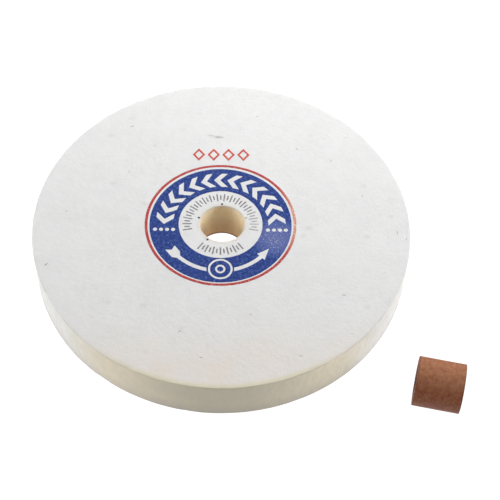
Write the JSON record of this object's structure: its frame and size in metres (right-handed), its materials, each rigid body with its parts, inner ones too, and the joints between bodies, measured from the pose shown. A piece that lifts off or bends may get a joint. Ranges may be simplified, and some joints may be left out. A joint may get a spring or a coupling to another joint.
{
  "type": "felt polishing wheel",
  "caption": "Thick round disc of hard pressed felt with a plain arbor bore and a stamped rotation label, and a loose reducing bush lying beside it.",
  "frame": {"origin": "on the wheel's axis, at its back face, which lies on the table", "axes": "+Z along the arbor bore, out of the printed front face; +Y from the bore towards the row of grade marks; the bush lies beside the wheel towards +X and -Y"},
  "size_m": [0.2263, 0.208, 0.0254],
  "materials": {
    "wool_felt": "hard pressed wool felt, cut faces, off-white",
    "blue_ink": "ink soaked into felt, matt",
    "red_ring_ink": "ink soaked into felt, matt, worn thin on one side",
    "red_mark_ink": "ink soaked into felt, matt",
    "grey_ink": "ink soaked into felt, matt",
    "dark_dot_ink": "ink soaked into felt, matt",
    "brown_fibre": "turned vulcanised fibre, mottled red-brown, dull"
  },
  "bodies": {
    "wheel": {"felt_wheel": "wool_felt", "blue_band_print": "blue_ink", "red_ring_print": "red_ring_ink", "red_grade_marks": "red_mark_ink", "grey_scale_print": "grey_ink", "bore_layout_dots": "dark_dot_ink"},
    "bush": {"reducing_bush": "brown_fibre"}
  },
  "joints": [
    {"name": "bush_lift", "type": "slide", "parent": "wheel", "child": "bush", "axis": [0, 0, 1], "range_m": [0, 0.06]}
  ]
}
